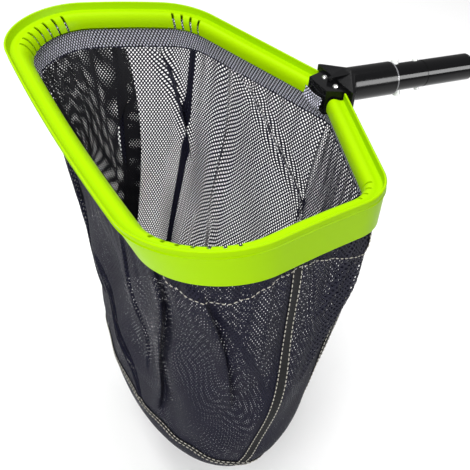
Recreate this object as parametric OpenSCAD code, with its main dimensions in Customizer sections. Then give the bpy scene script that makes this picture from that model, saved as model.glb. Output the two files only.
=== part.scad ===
// Leaf skimmer net: a deep mesh bag on a bent hoop with a wide plastic lip, a yoke and a pole insert.
// Millimetres. The origin is on the handle's axis where the pole's end stops, +X along the pole, +Z up.

/* [Frame outline] */
// Width of the front lip over the blade's top edge
front_w = 508; // [440:4:600]
// Width of the frame at its rear corners
rear_w = 408; // [360:4:430]
// Length from the front lip to the rear corners
side_l = 221; // [200:1:250]
// Length from the front lip to the yoke
frame_l = 290; // [270:1:320]
// Clear width between the two ends of the outline at the yoke
yoke_gap = 36; // [30:1:44]
// Corner radius at the front
front_r = 82; // [60:1:100]
// Corner radius at the rear
rear_r = 66; // [50:1:80]
// How far the front lip bows forward in its middle
lip_bow = 9; // [0:1:14]
// Rise of the frame's middle over its ends
arch_h = 9; // [0:1:14]
// Rise of the frame's two sides over its middle line
crown_h = 4; // [0:1:8]

/* [Rim guard] */
// Height of the outer blade
blade_h = 45; // [36:1:55]
// How far the blade's lower edge stands in from its upper edge
blade_flare = 13; // [6:1:16]
// Forward lean of the whole rim, in degrees
rim_lean = 17; // [0:1:22]
// Thickness of the plastic
rim_t = 2.4; // [2:0.1:3]
// Inward reach of the channel that clips over the hoop
channel_w = 24; // [22:0.5:27]
// Height of the channel's inner wall edge below the blade's top
channel_h = 22; // [21:0.5:26]
// Relief slits in each front corner
front_slits = 7; // [5:1:8]
// Relief slits in each rear corner
rear_slits = 4; // [3:1:6]
// Distance between slits along the outline
slit_pitch = 14; // [10:0.5:16]
// Width of a slit
slit_w = 1.6; // [1:0.1:2]

/* [Hoop and bag] */
// Diameter of the bent aluminium tube
hoop_d = 9; // [8:0.5:9]
// Depth of the bag below the rim
bag_depth = 333; // [250:1:450]
// Thickness of the net panels
net_t = 1.6; // [1.2:0.2:2.4]
// How much the bag narrows from its mouth to its bottom, as a share
bag_taper = 0.4; // [0.2:0.02:0.5]
// Sideways lean of the hanging bag
bag_lean = 17; // [0:1:40]
// Width of the seam tapes
tape_w = 11; // [8:1:16]

/* [Yoke and handle] */
// Radius of the yoke's barrel
barrel_r = 17.4; // [16.5:0.1:20]
// Length of the barrel
barrel_l = 54; // [50:1:70]
// Radius of the pole insert
insert_r = 14.25; // [14.25:0.05:14.5]
// Free length of the pole insert
insert_l = 101; // [90:1:120]
// Wall of the pole insert
insert_t = 2.5; // [2:0.1:2.5]
// Half span of the yoke's ears
ear_y = 42; // [38:1:46]

/* [Button clip] */
// Angle of the buttons' line round the handle, from the vertical
clip_turn = 24; // [0:1:45]
// Distance of the large buttons from the shoulder
nub_x = 7; // [7:0.5:9]
// Distance of the lock pins from the shoulder
pin_x = 33; // [30:1:36]
// Radius of a large button
nub_r = 4; // [3.5:0.1:4]
// Radius of a lock pin
pin_r = 2.7; // [2.4:0.1:2.8]
// Distance of a large button's tip from the handle's axis
nub_tip = 19.5; // [18:0.1:20]
// Distance of a lock pin's tip from the handle's axis
pin_tip = 17; // [16.5:0.1:17.2]
// Distance of the clip's bend from the shoulder
bend_x = 70; // [66:1:76]

/* [Hidden] */
$fn = 48;
gap = 0.3;
lean = tan(rim_lean);
// Distance from the front lip to the shoulder, and height of the blade's edge over the handle's axis
shoulder_u = frame_l + 69;
blade_z = 5.5;
// Places of the hoop and of the bag's mouth in the rim's section: outward, up
hoop_o = -14.8;
hoop_w = -19.5;
mouth_o = -18.6;
mouth_w = -46.4;
// Half widths at which the rim and the hem stop short of the yoke
rim_end_y = 27;
hem_end_y = 26;
hoop_end_y = 10;
hem_t = 0.6;
hem_r = hoop_d / 2 + gap + hem_t;

// ---- outline: each station is [x, y, outward x, outward y] in the plane of the blade's top edge ----
function unit(v) = v / norm(v);
function left_of(v) = [v.y, -v.x];
// A point of the straight rear stretch whose half width is y, on side s
function rear_pt(y, s) = [side_l + (frame_l - side_l) * (rear_w / 2 - y) / (rear_w / 2 - yoke_gap / 2), s * y];
function knots(end_y) = [rear_pt(end_y, -1), [side_l, -rear_w / 2], [0, -front_w / 2],
  [0, front_w / 2], [side_l, rear_w / 2], rear_pt(end_y, 1)];
radii = [0, rear_r, front_r, front_r, rear_r, 0];
// Distance from a corner's knot to the end of its arc
function setback(k, i) = (i == 0 || i == len(k) - 1) ? 0
  : radii[i] * tan(acos(unit(k[i] - k[i - 1]) * unit(k[i + 1] - k[i])) / 2);
function out_of(a, b) = -left_of(unit(b - a));
function straight(k, i, n) = let (
    d = unit(k[i + 1] - k[i]),
    a = k[i] + d * setback(k, i),
    b = k[i + 1] - d * setback(k, i + 1),
    o = out_of(k[i], k[i + 1])
  ) [for (j = [0:n]) concat(a + (b - a) * j / n, o)];
// Centre, first angle and turn of a corner's arc
function corner(k, i) = let (
    o0 = out_of(k[i - 1], k[i]),
    o1 = out_of(k[i], k[i + 1])
  ) [k[i] - unit(k[i] - k[i - 1]) * setback(k, i) - o0 * radii[i], atan2(o0.y, o0.x), -acos(o0 * o1)];
// The station of a corner's arc at angle a
function on_arc(centre, r, a) = [centre.x + r * cos(a), centre.y + r * sin(a), cos(a), sin(a)];
function arc(k, i, n) = let (c = corner(k, i))
  [for (j = [1:n - 1]) on_arc(c[0], radii[i], c[1] + c[2] * j / n)];
function outline(end_y, rear_n = 5, side_n = 3, lip_n = 10, arc_n = 12) = let (k = knots(end_y)) concat(
  straight(k, 0, rear_n),
  arc(k, 1, arc_n),
  straight(k, 1, side_n),
  arc(k, 2, arc_n),
  straight(k, 2, lip_n),
  arc(k, 3, arc_n),
  straight(k, 3, side_n),
  arc(k, 4, arc_n),
  straight(k, 4, rear_n));
// Bow and arch of the frame at one station, then the place of a section point (outward, up)
function bow(p) = lip_bow * max(0, 1 - pow(2 * p[1] / front_w, 2)) * exp(-pow(max(p[0], 0) / 60, 2));
function rise(p) = 4 * arch_h * p[0] * (frame_l - p[0]) / pow(frame_l, 2) + crown_h * pow(2 * p[1] / front_w, 2);
function place(p, o, w) = [
  p[0] + p[2] * o - bow(p) - w * lean - shoulder_u,
  p[1] + p[3] * o,
  rise(p) + w + blade_z];

// ---- solids from rings of points ----
// The two triangles of a four-sided face
function split(a, b, c, d) = [[a, c, b], [a, d, c]];
module loft(rings) {
  n = len(rings[0]);
  m = len(rings);
  sides = [for (i = [0:m - 2], j = [0:n - 1])
    each split(i * n + j, i * n + (j + 1) % n, (i + 1) * n + (j + 1) % n, (i + 1) * n + j)];
  first = [for (j = [0:n - 1]) j];
  last = [for (j = [0:n - 1]) m * n - 1 - j];
  polyhedron([for (r = rings) each r], concat([first, last], sides), convexity = 10);
}
// A closed band: the last ring is joined to the first
module band(rings) {
  n = len(rings[0]);
  m = len(rings);
  sides = [for (i = [0:m - 1], j = [0:n - 1])
    let (i2 = (i + 1) % m, j2 = (j + 1) % n) each split(i * n + j, i * n + j2, i2 * n + j2, i2 * n + j)];
  polyhedron([for (r = rings) each r], sides, convexity = 10);
}
// A thin panel between two grids of points, one outside and one inside
module slab(outer, inner) {
  m = len(outer);
  n = len(outer[0]);
  k = m * n;
  skins = [for (i = [0:m - 2], j = [0:n - 2]) each concat(
    split(i * n + j, i * n + j + 1, (i + 1) * n + j + 1, (i + 1) * n + j),
    split(k + (i + 1) * n + j, k + (i + 1) * n + j + 1, k + i * n + j + 1, k + i * n + j))];
  tops = [for (j = [0:n - 2]) each concat(
    split(j + 1, j, k + j, k + j + 1),
    split((m - 1) * n + j, (m - 1) * n + j + 1, k + (m - 1) * n + j + 1, k + (m - 1) * n + j))];
  ends = [for (i = [0:m - 2]) each concat(
    split(i * n, (i + 1) * n, k + (i + 1) * n, k + i * n),
    split((i + 2) * n - 1, (i + 1) * n - 1, k + (i + 1) * n - 1, k + (i + 2) * n - 1))];
  points = concat([for (r = outer) each r], [for (r = inner) each r]);
  polyhedron(points, concat(skins, tops, ends), convexity = 10);
}
module sweep(path, section) {
  loft([for (p = path) [for (s = section) place(p, s.x, s.y)]]);
}
// Sweep of an upright section about the hoop's line, given as [radius, angle] pairs
module sweep_hoop(path, section) {
  loft([for (p = path) let (c = place(p, hoop_o, hoop_w))
    [for (s = section) c + s[0] * [p[2] * cos(s[1]), p[3] * cos(s[1]), sin(s[1])]]]);
}

// ---- frame ----
module hoop_tube() {
  color("silver") sweep_hoop(outline(hoop_end_y), [for (j = [0:11]) [hoop_d / 2, 30 * j]]);
}
function blade_o(w) = blade_flare * w / blade_h;
// The rim's section: a tall blade with a channel on its inner side
rim_section = [
  [0, 0], [-rim_t * 0.95, -0.3], [blade_o(-4.5) - rim_t, -4.5], [-6, -6.6], [-9.5, -6.4], [-14.5, -7.2],
  [-19.4, -10.2], [-channel_w + 1.5, -16], [-channel_w, -channel_h], [-channel_w + 2.2, -channel_h - 0.4],
  [-channel_w + 3.6, -16.4], [-18, -12.2], [-14.2, -10], [-9, -10.2], [blade_o(-13.5) - rim_t, -13.5],
  [blade_o(1 - blade_h) - rim_t, 1 - blade_h], [-blade_flare, -blade_h]];
// One relief slit through the bead and the inner wall at a station
slit_spare = 6;
slit_reach = channel_w + slit_spare;
// How far short of the blade's face the slit stops, low down and at its top
slit_foot = 10;
slit_top = 12;
module slit(p) {
  translate(place(p, 0, 0))
    multmatrix([[1, 0, -lean, 0], [0, 1, 0, 0], [0, 0, 1, 0], [0, 0, 0, 1]])
      rotate(atan2(p[3], p[2]))
        translate([-channel_w - slit_spare, -slit_w / 2, 0])
          hull() {
            translate([0, 0, -channel_h - slit_spare]) cube([slit_reach - slit_foot, slit_w, channel_h]);
            translate([0, 0, -3]) cube([slit_reach - slit_top, slit_w, 1]);
          }
}
// Stations of the slits of corner i, centred on its arc
function slits(k, i, count) = let (
    c = corner(k, i),
    step = slit_pitch / radii[i] * 180 / PI
  ) [for (j = [0:count - 1]) on_arc(c[0], radii[i], c[1] + c[2] / 2 - (j - (count - 1) / 2) * step)];
module rim_guard() {
  k = knots(rim_end_y);
  color([0.62, 0.86, 0.04]) difference() {
    sweep(outline(rim_end_y), rim_section);
    for (i = [1, 4], p = slits(k, i, rear_slits)) slit(p);
    for (i = [2, 3], p = slits(k, i, front_slits)) slit(p);
  }
}

// ---- net hem and bag ----
// Strip of doubled net that hangs from the hoop behind the blade and carries the bag: outward, up
skirt_section = [[-16.4, -26.2], [-18, -26.2], [-20, -45.8], [-18.4, -45.8]];
module hem_skirt() {
  color([0.1, 0.1, 0.11]) band([for (p = bag_path) [for (q = skirt_section) place(p, q.x, q.y)]]);
}
// The hem wraps the hoop and is open by a narrow gap at its underside
hem_arc = [for (j = [0:9]) -78 + 336 * j / 9];
hem_section = concat([for (a = hem_arc) [hem_r, a]], [for (j = [9:-1:0]) [hem_r - hem_t, hem_arc[j]]]);
module hem_sleeve() {
  color([0.1, 0.1, 0.11]) sweep_hoop(outline(hem_end_y), hem_section);
}
// Strip of hem that closes the mouth across the yoke's front: lowest corner and size
bridge_at = [-92, -16, -18];
bridge_w = 32;
bridge_h = 15;
module hem_bridge() {
  color([0.12, 0.12, 0.13]) translate(bridge_at) cube([net_t, bridge_w, bridge_h]);
}
// Centre and half axes of the round section that the bag takes lower down
bag_c = [150 - shoulder_u, 0];
bag_a = [106, 245];
bag_turn = [150, 230];
// Height of the mouth over the bag's measured depth, and how far the bottom hangs to the sides
bag_floor = 41;
bag_shift = [-28, -bag_lean];
// Sideways belly of the bag at half its depth
bag_belly = [6.5, -12];
// How soon the plan turns round, and how the bottom closes
round_rate = 1.35;
close_power = 11.6;
close_root = 0.5;
// Shares of the depth at which the walls begin and end
wall_start = 0.012;
wall_end = 0.8;
wall_rows = 9;
arc_steps = 6;
rear_steps = 3;
side_steps = 2;
lip_steps = 6;
bag_path = outline(hoop_end_y, rear_steps, side_steps, lip_steps, arc_steps);
bag_n = len(bag_path);
// Places of the four upright seams along the bag's path, counted in stations
seam_rear_near = rear_steps + arc_steps / 2;
seam_front_near = seam_rear_near + (arc_steps + side_steps) / 2;
seam_front_far = seam_front_near + 2 * arc_steps + side_steps + lip_steps;
seam_rear_far = seam_front_far + (arc_steps + side_steps) / 2;
function station(s) = let (i = floor(s), a = bag_path[i % bag_n], b = bag_path[(i + 1) % bag_n]) a + (b - a) * (s - i);
// Point of the bag at station s and share t of its depth, moved inward by d
function bag_at(s, t, d) = let (
    m = place(station(s), mouth_o, mouth_w),
    rim = [m.x, m.y] - bag_c,
    a = atan2(rim.y / bag_turn.y, rim.x / bag_turn.x),
    round_share = min(1, round_rate * t),
    k = (1 - bag_taper * t) * pow(1 - pow(t, close_power), close_root),
    plan = (rim * (1 - round_share) + [bag_a.x * cos(a), bag_a.y * sin(a)] * round_share) * k,
    moved = plan * (1 - d / norm(plan)) + bag_c + bag_shift * t + bag_belly * 4 * t * (1 - t)
  ) [moved.x, moved.y, m.z * (1 - t) - (bag_floor + bag_depth) * t + max(d, 0)];
// A piece of the bag's surface between two distances inward
module skin(rows, cols, near, far) {
  outer = [for (t = rows) [for (s = cols) bag_at(s, t, near)]];
  inner = [for (t = rows) [for (s = cols) bag_at(s, t, far)]];
  slab(outer, inner);
}
// Stations of a panel between two seams, which stops a little short of both
seam_edge = 0.04;
function columns(a, b) = concat(
  [a + seam_edge],
  [for (s = [a + 1:b - 1]) s],
  [b - seam_edge]);
module bag_wall(a, b) {
  cols = columns(a, b);
  rows = [for (i = [0:wall_rows]) wall_start + (wall_end - wall_start) * i / wall_rows];
  skin(rows, cols, 0, net_t);
}
net_grey = [0.2, 0.2, 0.23];
module bag_front_panel() {
  color(net_grey) bag_wall(seam_front_near, seam_front_far);
}
module bag_near_panel() {
  color(net_grey) bag_wall(seam_rear_near, seam_front_near);
}
module bag_rear_panel() {
  color(net_grey) bag_wall(seam_rear_far, seam_rear_near + bag_n);
}
module bag_far_panel() {
  color(net_grey) bag_wall(seam_front_far, seam_rear_far);
}
bowl_rows = [0.805, 0.85, 0.89, 0.925, 0.95, 0.97, 0.984, 0.993];
bowl_raise = 0.004;
module bag_bottom_panel() {
  ring = [for (s = [0:bag_n - 1]) s];
  down = [for (t = bowl_rows) [for (s = ring) bag_at(s, t, 0)]];
  up = [for (i = [len(bowl_rows) - 1:-1:0]) [for (s = ring) bag_at(s, bowl_rows[i] - bowl_raise, net_t)]];
  color(net_grey) loft(concat(up, down));
}
// A tape sewn over a seam, from the mouth to the bottom seam
tape_top = 0.02;
tape_end = 0.77;
tape_near = -0.9;
tape_far = -1.7;
// Half a tape's width, counted in stations
function tape_half(s) = tape_w / 2 / norm([bag_path[s + 1].x - bag_path[s].x, bag_path[s + 1].y - bag_path[s].y]);
tape_black = [0.08, 0.08, 0.09];
module seam_tape(s) {
  rows = [for (i = [0:wall_rows]) tape_top + (tape_end - tape_top) * i / wall_rows];
  cols = [s - tape_half(s), s, s + tape_half(s)];
  color(tape_black)
    skin(rows, cols, tape_far, tape_near);
}
module tape_front_near() {
  seam_tape(seam_front_near);
}
module tape_rear_near() {
  seam_tape(seam_rear_near);
}
module tape_rear_far() {
  seam_tape(seam_rear_far);
}
module tape_front_far() {
  seam_tape(seam_front_far);
}
// The tape round the seam between the walls and the bottom
module tape_bottom() {
  half = tape_w / 2 / bag_depth;
  lap = [[-half, tape_near], [half, tape_near], [half, tape_far], [-half, tape_far]];
  color(tape_black) band([for (s = [0:bag_n - 1]) [for (q = lap) bag_at(s, wall_end + q.x, q.y)]]);
}

// ---- yoke ----
module along_x(x, r, l) {
  translate([x, 0, 0]) rotate([0, 90, 0]) cylinder(r = r, h = l);
}
module rod(a, b, r) {
  d = b - a;
  translate(a) rotate([0, acos(d.z / norm(d)), atan2(d.y, d.x)]) cylinder(r = r, h = norm(d));
}
ring_w = 1.6;
ring_step = 0.4;
bore_r = insert_r - 0.05;
spigot_r = bore_r - 0.3;
spigot_l = 44;
yoke_top = 6;
yoke_low = -20;
ear_x = -69.5;
rivet_x = -75;
rivet_y = 10.5;
rivet_end = -6.3;
rivet_r = 1.9;
head_r = 2.9;
head_h = 1.4;
// The flare's far edge: half width, top and thickness
flare_y = ear_y - 8;
flare_top = 9;
flare_t = 3;
// The fin on top of the yoke: place, width and height at its tall end and at its low end
fin_tall = [-56, 15, 16];
fin_low = [-78, 2, 10.5];
fin_t = 2;
// The block that clamps the hoop's two ends
block = [[-54, -18], [ear_x, -33], [ear_x, -25], [-71.5, -23.4], [-89.5, -16.8],
  [-89.5, 16.8], [-71.5, 23.4], [ear_x, 25], [ear_x, 33], [-54, 18]];
// A point of the hoop's straight end on side s
function hoop_pt(y, s) = let (
    o = s < 0 ? out_of(rear_pt(y, s), [side_l, -rear_w / 2]) : out_of([side_l, rear_w / 2], rear_pt(y, s))
  ) place(concat(rear_pt(y, s), o), hoop_o, hoop_w);
module yoke_body() {
  color([0.09, 0.09, 0.1]) difference() {
    union() {
      along_x(-barrel_l, barrel_r, barrel_l - ring_w - gap);
      hull() {
        translate([-barrel_l, 0, 0]) rotate([0, 90, 0]) cylinder(r = barrel_r, h = 1, $fn = 32);
        translate([ear_x, -flare_y, yoke_low]) cube([flare_t, 2 * flare_y, flare_top - yoke_low]);
      }
      translate([0, 0, yoke_low]) linear_extrude(yoke_top - yoke_low) polygon(block);
      hull()
        for (f = [fin_tall, fin_low]) translate([f.x, -f.y / 2, 0]) cube([fin_t, f.y, f.z]);
    }
    along_x(-spigot_l - 2, bore_r, spigot_l + 2);
    for (s = [-1, 1]) {
      rod(hoop_pt(hoop_end_y - 1, s), hoop_pt(rim_end_y + 6, s), hoop_d / 2 + gap);
      translate([rivet_x, s * rivet_y, rivet_end - gap])
        cylinder(r = rivet_r + gap, h = yoke_top - rivet_end + 1);
    }
  }
}
module yoke_rivets() {
  color([0.8, 0.8, 0.78]) for (s = [-1, 1]) translate([rivet_x, s * rivet_y, 0]) {
    translate([0, 0, rivet_end]) cylinder(r = rivet_r, h = yoke_top - rivet_end + 0.5);
    translate([0, 0, yoke_top + 0.1]) cylinder(r1 = head_r, r2 = head_r * 0.7, h = head_h);
  }
}
module shoulder_ring() {
  color([0.3, 0.3, 0.32]) difference() {
    along_x(-ring_w, barrel_r - ring_step, ring_w - 0.1);
    along_x(-ring_w - 1, bore_r, ring_w + 2);
  }
}

// ---- pole insert and button clip ----
nub_hole = nub_r + 1;
nub_back = 0.6;
pin_hole = pin_r + 0.95;
pin_back = 0.55;
chamfer = 1.5;
// A shallow relief groove parts the insert's stretch with the buttons from its plain guide
land_l = 38;
groove_w = 1.6;
groove_r = insert_r - 0.4;
module clip_frame() {
  rotate([-clip_turn, 0, 0]) children();
}
module pole_insert() {
  color([0.07, 0.07, 0.08]) difference() {
    union() {
      along_x(0, insert_r, land_l);
      along_x(land_l - 1, groove_r, groove_w + 2);
      along_x(land_l + groove_w, insert_r, insert_l - chamfer - land_l - groove_w);
      translate([insert_l - chamfer, 0, 0]) rotate([0, 90, 0])
        cylinder(r1 = insert_r, r2 = insert_r - chamfer / 2, h = chamfer);
      along_x(-spigot_l, spigot_r, spigot_l + 1);
    }
    along_x(-spigot_l - 1, insert_r - insert_t, spigot_l + insert_l + 2);
    clip_frame() {
      translate([nub_x - nub_back, 0, 0]) cylinder(r = nub_hole, h = 4 * insert_r, center = true);
      translate([pin_x - pin_back, 0, 0]) cylinder(r = pin_hole, h = 4 * insert_r, center = true);
    }
  }
}
clip_white = [0.88, 0.89, 0.88];
strip_t = 2.2;
root_z = 2;
tip_z = 8.2;
leg_w = 8;
bow_w = 20;
module clip_bow() {
  color(clip_white) clip_frame() intersection() {
    rotate([90, 0, 0]) translate([bend_x, 0, -bow_w / 2]) difference() {
      cylinder(r = root_z + strip_t, h = bow_w);
      translate([0, 0, -1]) cylinder(r = root_z, h = bow_w + 2);
    }
    translate([bend_x, -bow_w, -10]) cube([10, 2 * bow_w, 20]);
  }
}
// A button stands on the strip and has a chamfered tip, cap high
module button(x, r, tip) {
  foot = tip_z + strip_t * 0.4 - (tip_z - root_z) * (x + r) / bend_x;
  cap = r * 0.3;
  translate([x, 0, foot]) cylinder(r = r, h = tip - foot - cap);
  translate([x, 0, tip - cap]) cylinder(r1 = r, r2 = r * 0.65, h = cap);
}
module clip_leg() {
  rotate([90, 0, 0]) translate([0, 0, -leg_w / 2]) linear_extrude(leg_w)
    polygon([[bend_x - gap, root_z], [bend_x - gap, root_z + strip_t], [1, tip_z + strip_t], [1, tip_z]]);
  button(nub_x, nub_r, nub_tip);
  button(pin_x, pin_r, pin_tip);
}
module clip_leg_upper() {
  color(clip_white) clip_frame() clip_leg();
}
module clip_leg_lower() {
  color(clip_white) clip_frame() mirror([0, 0, 1]) clip_leg();
}

hoop_tube();
rim_guard();
hem_sleeve();
hem_skirt();
hem_bridge();
bag_front_panel();
bag_near_panel();
bag_rear_panel();
bag_far_panel();
bag_bottom_panel();
tape_front_near();
tape_rear_near();
tape_rear_far();
tape_front_far();
tape_bottom();
yoke_body();
yoke_rivets();
shoulder_ring();
pole_insert();
clip_bow();
clip_leg_upper();
clip_leg_lower();
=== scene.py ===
"""Looks of the pool leaf skimmer net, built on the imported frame: rim guard, hem, net bag, tapes, yoke and handle."""

import logging
import math
from dataclasses import dataclass
from enum import Enum

import bpy
import numpy as np
from mathutils import Matrix, Vector

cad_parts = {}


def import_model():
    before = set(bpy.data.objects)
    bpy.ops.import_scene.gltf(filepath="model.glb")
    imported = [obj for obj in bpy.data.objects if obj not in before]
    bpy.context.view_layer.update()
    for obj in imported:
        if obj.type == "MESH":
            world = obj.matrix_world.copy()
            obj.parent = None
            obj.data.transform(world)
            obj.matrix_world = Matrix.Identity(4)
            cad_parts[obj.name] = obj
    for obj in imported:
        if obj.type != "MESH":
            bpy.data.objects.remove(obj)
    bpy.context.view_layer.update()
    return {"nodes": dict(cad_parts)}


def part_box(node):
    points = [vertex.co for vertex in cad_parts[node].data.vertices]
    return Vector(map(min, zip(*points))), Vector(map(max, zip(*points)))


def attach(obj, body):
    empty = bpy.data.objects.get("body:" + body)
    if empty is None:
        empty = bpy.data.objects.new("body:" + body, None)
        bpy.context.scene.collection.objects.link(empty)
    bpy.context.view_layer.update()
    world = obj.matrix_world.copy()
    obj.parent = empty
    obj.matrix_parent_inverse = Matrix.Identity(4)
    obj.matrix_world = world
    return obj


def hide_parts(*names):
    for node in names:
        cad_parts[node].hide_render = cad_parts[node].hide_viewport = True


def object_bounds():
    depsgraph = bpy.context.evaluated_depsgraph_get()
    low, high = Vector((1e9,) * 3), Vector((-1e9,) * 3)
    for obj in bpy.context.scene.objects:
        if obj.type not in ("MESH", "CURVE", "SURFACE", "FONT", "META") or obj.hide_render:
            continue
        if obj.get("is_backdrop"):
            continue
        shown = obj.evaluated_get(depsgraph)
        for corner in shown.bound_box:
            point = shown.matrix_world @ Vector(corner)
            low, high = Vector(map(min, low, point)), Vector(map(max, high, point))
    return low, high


LOG = logging.getLogger("skimmer")
RAKE = "rake"
Feed = float | bpy.types.NodeSocket  # what an input of a node takes


# ---------------------------------------------------------------- mesh and material tools


def rounded_normals(mesh: bpy.types.Mesh) -> None:
    """Marks every face of a mesh smooth."""
    mesh.polygons.foreach_set("use_smooth", np.ones(len(mesh.polygons), dtype=bool))


def put_mesh(name: str, verts: np.ndarray, faces: list[tuple[int, ...]] | np.ndarray) -> bpy.types.Object:
    """Makes a smooth object of points and faces.

    Args:
        name: The object's name.
        verts: Points, one row each.
        faces: Corner numbers of each face, anticlockwise seen from outside.

    Returns:
        The object, linked to the scene, at the origin.
    """
    mesh = bpy.data.meshes.new(name)
    mesh.from_pydata(verts.reshape(-1, 3).tolist(), [], [tuple(int(i) for i in f) for f in faces])
    mesh.update()
    rounded_normals(mesh)
    obj = bpy.data.objects.new(name, mesh)
    bpy.context.scene.collection.objects.link(obj)
    return obj


def grid_faces(rows: int, cols: int, wrap: bool = False, keep: np.ndarray | None = None) -> np.ndarray:
    """Faces of a grid of points: cell (i, j) joins rows i, i+1 and columns j, j+1.

    Args:
        rows: Number of rows.
        cols: Number of columns.
        wrap: Whether the last column joins the first.
        keep: A mask of the cells to make, or None for all.

    Returns:
        An array of four corner numbers for each face.
    """
    i, j = np.meshgrid(np.arange(rows - 1), np.arange(cols if wrap else cols - 1), indexing="ij")
    k = (j + 1) % cols
    quads = np.stack([i * cols + j, i * cols + k, (i + 1) * cols + k, (i + 1) * cols + j], axis=-1)
    return quads[keep] if keep is not None else quads.reshape(-1, 4)


def set_uv(obj: bpy.types.Object, across: np.ndarray, along: np.ndarray) -> None:
    """Gives a mesh of a grid of points a UV map, in metres of cloth.

    Args:
        obj: The object.
        across: The first coordinate, of a shape that spreads over the grid.
        along: The second, likewise.
    """
    mesh = obj.data
    uv = np.stack(np.broadcast_arrays(across, along), axis=-1)
    corners = np.empty(len(mesh.loops), dtype=np.int32)
    mesh.loops.foreach_get("vertex_index", corners)
    layer = mesh.uv_layers.new(name="UVMap")
    layer.data.foreach_set("uv", uv.reshape(-1, 2)[corners].astype(np.float32).ravel())


def run_along(points: np.ndarray) -> np.ndarray:
    """Length run to each point of a line: the sum of the steps so far."""
    return np.concatenate([[0], np.cumsum(np.linalg.norm(np.diff(points, axis=0), axis=1))])


def full_ring(grid: np.ndarray) -> np.ndarray:
    """A grid with its first column again at its end, so that measures go right round it."""
    return np.concatenate([grid, grid[:, :1]], axis=1)


def thicken(obj: bpy.types.Object, name: str, thickness: float, offset: float = 0.0) -> bpy.types.Modifier:
    """Gives an open surface a wall: about the surface at an offset of 0, below it at -1."""
    wall = obj.modifiers.new(name, "SOLIDIFY")
    wall.thickness, wall.offset = thickness, offset
    return wall


def dress(obj: bpy.types.Object, finish: bpy.types.Material, node: str | None = None) -> None:
    """Gives a piece of the rake its finish, its body, its colour slot and the CAD node that it replaces, if any."""
    obj.data.materials.append(finish)
    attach(obj, RAKE)
    if node is not None:
        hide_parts(node)


def closed_sweep(name: str, rings: np.ndarray) -> bpy.types.Object:
    """Skins rings of points into a closed solid, with its two ends filled.

    Args:
        name: The object's name.
        rings: Rings by points by three.

    Returns:
        The object.
    """
    n, m = rings.shape[:2]
    faces = [tuple(f[::-1]) for f in grid_faces(n, m, wrap=True)]
    faces += [tuple(range(m)), tuple(range(n * m - 1, (n - 1) * m - 1, -1))]
    obj = put_mesh(name, rings, faces)
    fix_outward(obj)
    return obj


def fix_outward(obj: bpy.types.Object) -> None:
    """Turns a closed mesh right side out when its signed volume (a sum of corner triple products) is negative."""
    mesh = obj.data
    mesh.calc_loop_triangles()
    tri = np.empty(len(mesh.loop_triangles) * 3, dtype=np.int32)
    mesh.loop_triangles.foreach_get("vertices", tri)
    co = np.empty(len(mesh.vertices) * 3)
    mesh.vertices.foreach_get("co", co)
    p = co.reshape(-1, 3)[tri.reshape(-1, 3)]
    if np.einsum("ij,ij->i", p[:, 0], np.cross(p[:, 1], p[:, 2])).sum() < 0:
        mesh.flip_normals()


def smooth_curve(points: np.ndarray, count: int) -> np.ndarray:
    """A curve through points, by cubic pieces whose tangents are half the chord between neighbours.

    Args:
        points: Points to pass through.
        count: Number of samples, evenly spaced over the pieces.

    Returns:
        The samples.
    """
    p = np.vstack([2 * points[0] - points[1], points, 2 * points[-1] - points[-2]])
    t = np.linspace(0, len(points) - 1, count)
    i = np.minimum(t.astype(int), len(points) - 2)
    f = (t - i)[:, None]
    a, b, c, d = p[i], p[i + 1], p[i + 2], p[i + 3]
    return 0.5 * (2 * b + (c - a) * f + (2 * a - 5 * b + 4 * c - d) * f**2 + (3 * b - a - 3 * c + d) * f**3)


class Graph:
    """A material's node tree, with short calls that add nodes and join them."""

    def __init__(self, name: str) -> None:
        """Starts a new material with an empty tree."""
        self.material = bpy.data.materials.new(name)
        self.material.use_nodes = True
        self.tree = self.material.node_tree
        self.tree.nodes.clear()
        self.output = self.tree.nodes.new("ShaderNodeOutputMaterial")

    def add(self, kind: str, inputs: dict | None = None, **settings: object) -> bpy.types.Node:
        """Adds a node.

        Args:
            kind: Node type without its ShaderNode prefix.
            inputs: Socket name or number to a value or to another node's socket.
            settings: Properties of the node.

        Returns:
            The node.
        """
        node = self.tree.nodes.new("ShaderNode" + kind)
        for key, value in settings.items():
            setattr(node, key, value)
        for key, value in (inputs or {}).items():
            if isinstance(value, bpy.types.NodeSocket):
                self.tree.links.new(value, node.inputs[key])
            else:
                node.inputs[key].default_value = value
        return node

    def math(self, operation: str, a: Feed, b: Feed = 0.0, c: Feed = 0.0) -> bpy.types.NodeSocket:
        """A Math node of up to three numbers or sockets."""
        return self.add("Math", {0: a, 1: b, 2: c}, operation=operation).outputs[0]

    def noise(self, scale: float, detail: float = 2.0, where: Feed | None = None) -> bpy.types.NodeSocket:
        """Noise over Object coordinates, or over the coordinates given."""
        where = where or self.add("TexCoord").outputs["Object"]
        return self.add("TexNoise", {"Vector": where, "Scale": scale, "Detail": detail}).outputs[0]

    def blend(self, low: tuple, high: tuple, share: Feed) -> bpy.types.NodeSocket:
        """A colour between two, by a share."""
        node = self.add("Mix", {0: share, 6: (*low, 1), 7: (*high, 1)}, data_type="RGBA")
        return node.outputs[2]

    def bump(self, height: Feed, distance: float, strength: float = 1.0) -> bpy.types.NodeSocket:
        """A normal from a height."""
        return self.add("Bump", {"Height": height, "Distance": distance, "Strength": strength}).outputs[0]

    def surface(self, **inputs: object) -> bpy.types.Material:
        """Ends the tree in a Principled shader whose sockets take the given values, and returns the material."""
        names = {k.replace("_", " ").title().replace("Ior", "IOR"): v for k, v in inputs.items()}
        shader = self.add("BsdfPrincipled", names)
        self.tree.links.new(shader.outputs[0], self.output.inputs[0])
        return self.material


class Gloss(Enum):
    """Surface classes of moulded plastic, each its roughness and the depth of its moulded ripple in metres."""

    SOFT = (0.34, 0.00006)
    HIGH = (0.16, 0.00003)
    MIRROR = (0.09, 0.00001)


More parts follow.
